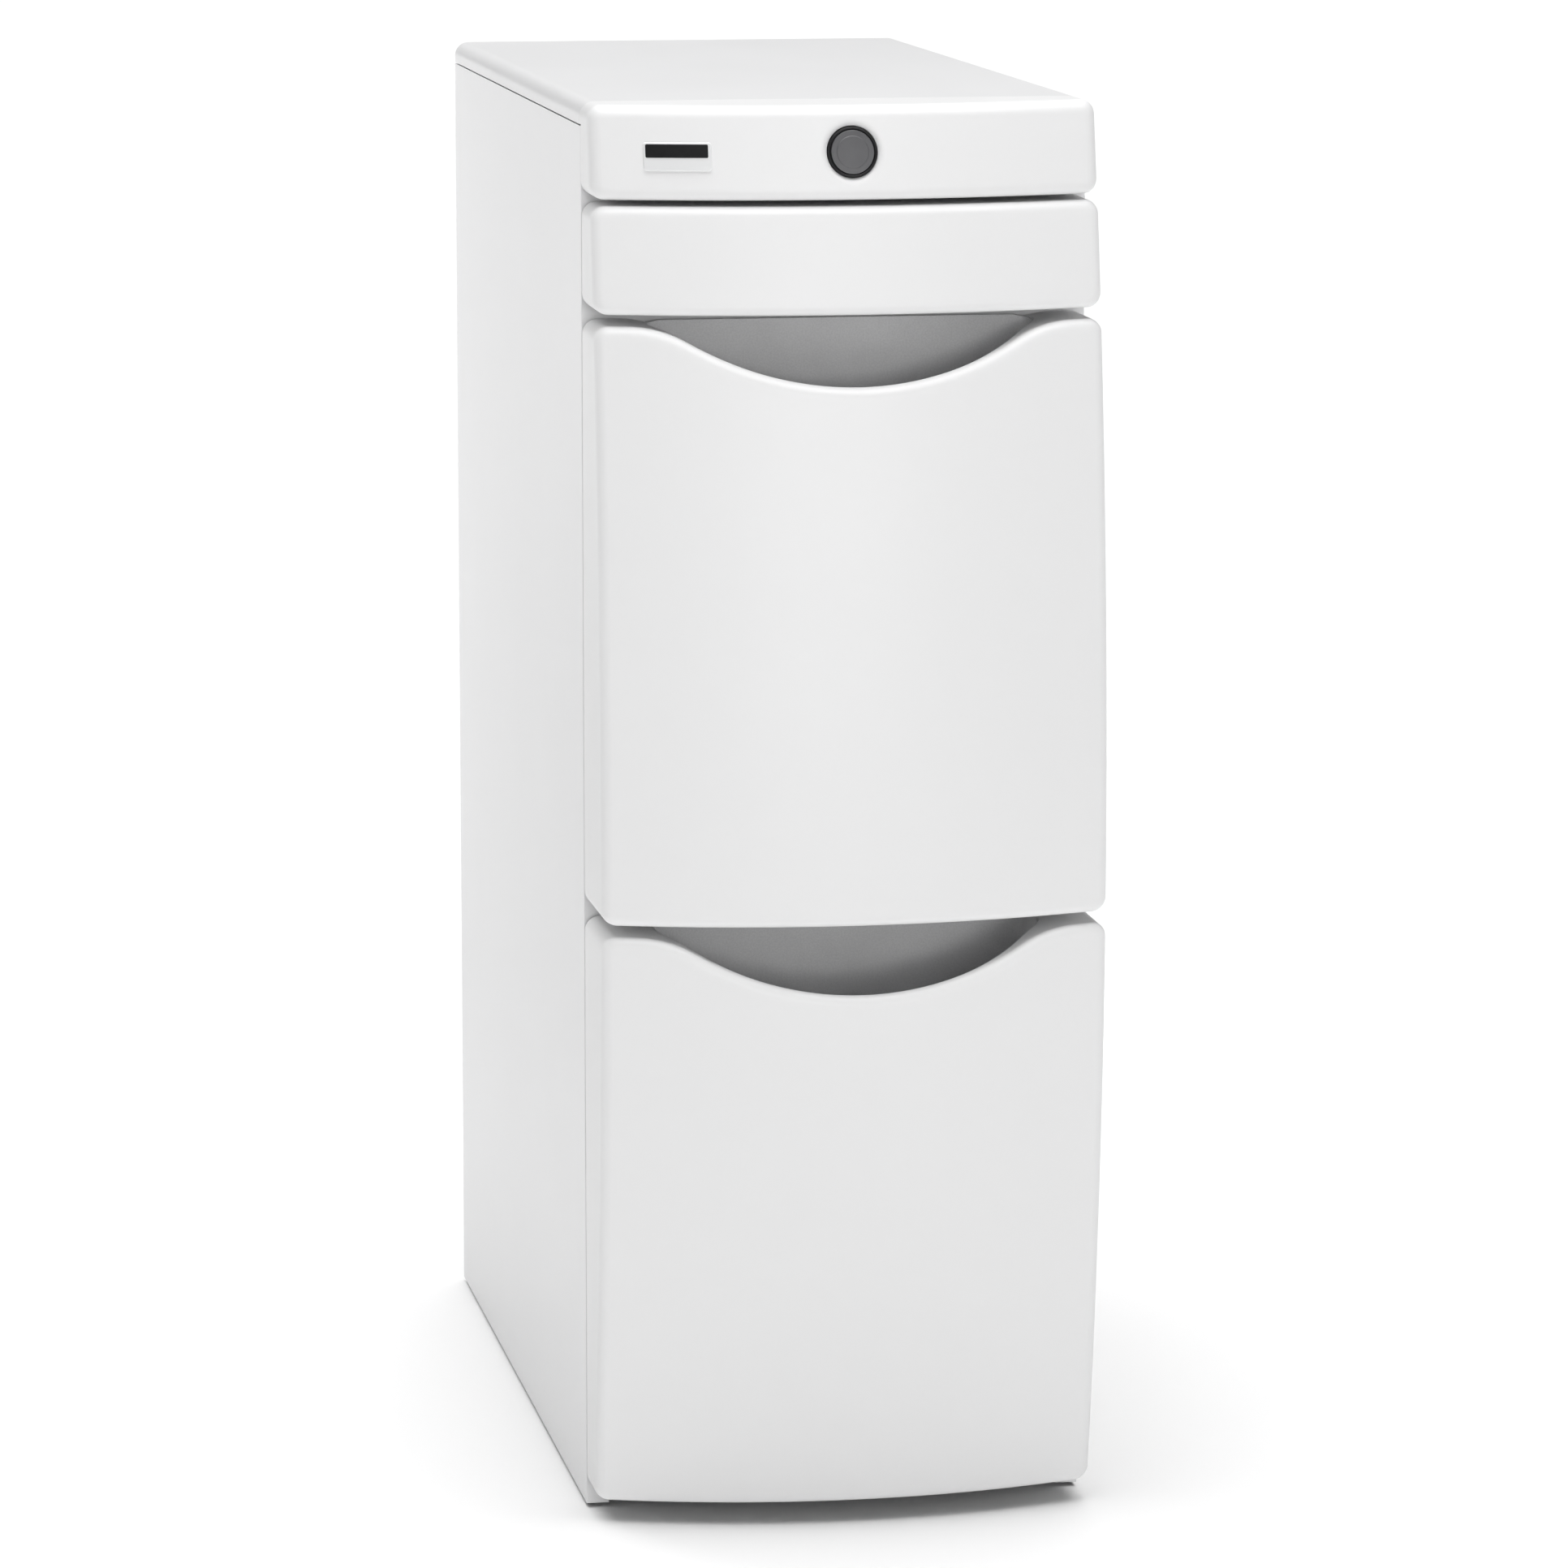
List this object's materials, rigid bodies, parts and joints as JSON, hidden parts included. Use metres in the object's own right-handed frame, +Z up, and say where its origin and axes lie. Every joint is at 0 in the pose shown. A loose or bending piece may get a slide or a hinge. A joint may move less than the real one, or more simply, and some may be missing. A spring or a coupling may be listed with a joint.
{
  "type": "laundry storage tower",
  "caption": "Slim white laundry storage tower with a worktop, bowed fronts, a shallow drawer, deep drawers with scooped finger pulls, and a pull-out hanging rod in its console.",
  "frame": {"origin": "on the floor, at the centre of the whole object's box", "axes": "+Z up, -Y towards the user, out of the crowned fronts, +X to the user's right when facing the fronts"},
  "size_m": [0.345, 0.81, 0.968],
  "materials": {
    "cabinet_enamel": "smooth satin white enamel on folded steel",
    "front_moulding": "smooth semi-gloss white moulded plastic",
    "pocket_plastic": "fine-grained matte mid grey moulded plastic",
    "box_enamel": "satin white enamel",
    "galvanised_sheet": "dull galvanised sheet",
    "slide_steel": "zinc-plated steel",
    "fastener_steel": "zinc-plated steel",
    "rod_chrome": "bright chrome plate",
    "knob_black": "satin black moulded plastic",
    "knob_grey": "satin dark grey moulded plastic",
    "badge_metal": "satin silver plate",
    "badge_field": "plain dark gloss field",
    "guide_plastic": "natural white moulded plastic",
    "foot_rubber": "black rubber",
    "bumper_rubber": "soft grey rubber"
  },
  "bodies": {
    "cabinet": {"side_panel_left": "cabinet_enamel", "side_panel_right": "cabinet_enamel", "front_post_left": "cabinet_enamel", "front_post_right": "cabinet_enamel", "slide_upright_left": "cabinet_enamel", "slide_upright_right": "cabinet_enamel", "rear_post_left": "cabinet_enamel", "rear_post_right": "cabinet_enamel", "front_rail_1": "cabinet_enamel", "front_rail_2": "cabinet_enamel", "front_rail_3": "cabinet_enamel", "base_pan": "galvanised_sheet", "back_panel": "galvanised_sheet", "back_panel_screws": "fastener_steel", "top_panel": "cabinet_enamel", "foot_pads": "foot_rubber", "foot_studs": "fastener_steel", "foot_nuts": "fastener_steel", "slide_screws": "fastener_steel", "console": "front_moulding", "console_bracket": "galvanised_sheet", "badge_plate": "badge_metal", "badge_field": "badge_field", "rod_guide": "guide_plastic", "rod_hanger": "galvanised_sheet", "drawer1_slide_outer": "slide_steel", "drawer2_slide_outer": "slide_steel", "drawer3_slide_outer": "slide_steel"},
    "hanging_rod": {"rod_tube": "rod_chrome", "rod_knob": "knob_black", "rod_knob_disc": "knob_grey", "rod_collar": "guide_plastic"},
    "drawer1": {"drawer1_front": "front_moulding", "drawer1_liner": "galvanised_sheet", "drawer1_bumpers": "bumper_rubber", "drawer1_sides": "box_enamel", "drawer1_tray": "box_enamel", "drawer1_front_screws": "fastener_steel", "drawer1_slide_inner": "slide_steel"},
    "drawer1_slides": {"drawer1_slide_middle": "slide_steel"},
    "drawer2": {"drawer2_front": "front_moulding", "drawer2_liner": "galvanised_sheet", "drawer2_bumpers": "bumper_rubber", "drawer2_sides": "box_enamel", "drawer2_tray": "box_enamel", "drawer2_front_screws": "fastener_steel", "drawer2_slide_inner": "slide_steel", "drawer2_pocket": "pocket_plastic"},
    "drawer2_slides": {"drawer2_slide_middle": "slide_steel"},
    "drawer3": {"drawer3_front": "front_moulding", "drawer3_liner": "galvanised_sheet", "drawer3_bumpers": "bumper_rubber", "drawer3_sides": "box_enamel", "drawer3_tray": "box_enamel", "drawer3_front_screws": "fastener_steel", "drawer3_slide_inner": "slide_steel", "drawer3_pocket": "pocket_plastic"},
    "drawer3_slides": {"drawer3_slide_middle": "slide_steel"}
  },
  "joints": [
    {"name": "rod_pull", "type": "slide", "parent": "cabinet", "child": "hanging_rod", "axis": [0, -1, 0], "range_m": [0, 0.35]},
    {"name": "drawer1_pull", "type": "slide", "parent": "cabinet", "child": "drawer1", "axis": [0, -1, 0], "range_m": [0, 0.55]},
    {"name": "drawer1_slides_run", "type": "slide", "parent": "cabinet", "child": "drawer1_slides", "axis": [0, -1, 0], "range_m": [0, 0.275]},
    {"name": "drawer2_pull", "type": "slide", "parent": "cabinet", "child": "drawer2", "axis": [0, -1, 0], "range_m": [0, 0.55]},
    {"name": "drawer2_slides_run", "type": "slide", "parent": "cabinet", "child": "drawer2_slides", "axis": [0, -1, 0], "range_m": [0, 0.275]},
    {"name": "drawer3_pull", "type": "slide", "parent": "cabinet", "child": "drawer3", "axis": [0, -1, 0], "range_m": [0, 0.55]},
    {"name": "drawer3_slides_run", "type": "slide", "parent": "cabinet", "child": "drawer3_slides", "axis": [0, -1, 0], "range_m": [0, 0.275]}
  ],
  "couplings": [
    {"joint": "drawer1_slides_run", "follows": "drawer1_pull", "ratio": 0.5},
    {"joint": "drawer2_slides_run", "follows": "drawer2_pull", "ratio": 0.5},
    {"joint": "drawer3_slides_run", "follows": "drawer3_pull", "ratio": 0.5}
  ]
}
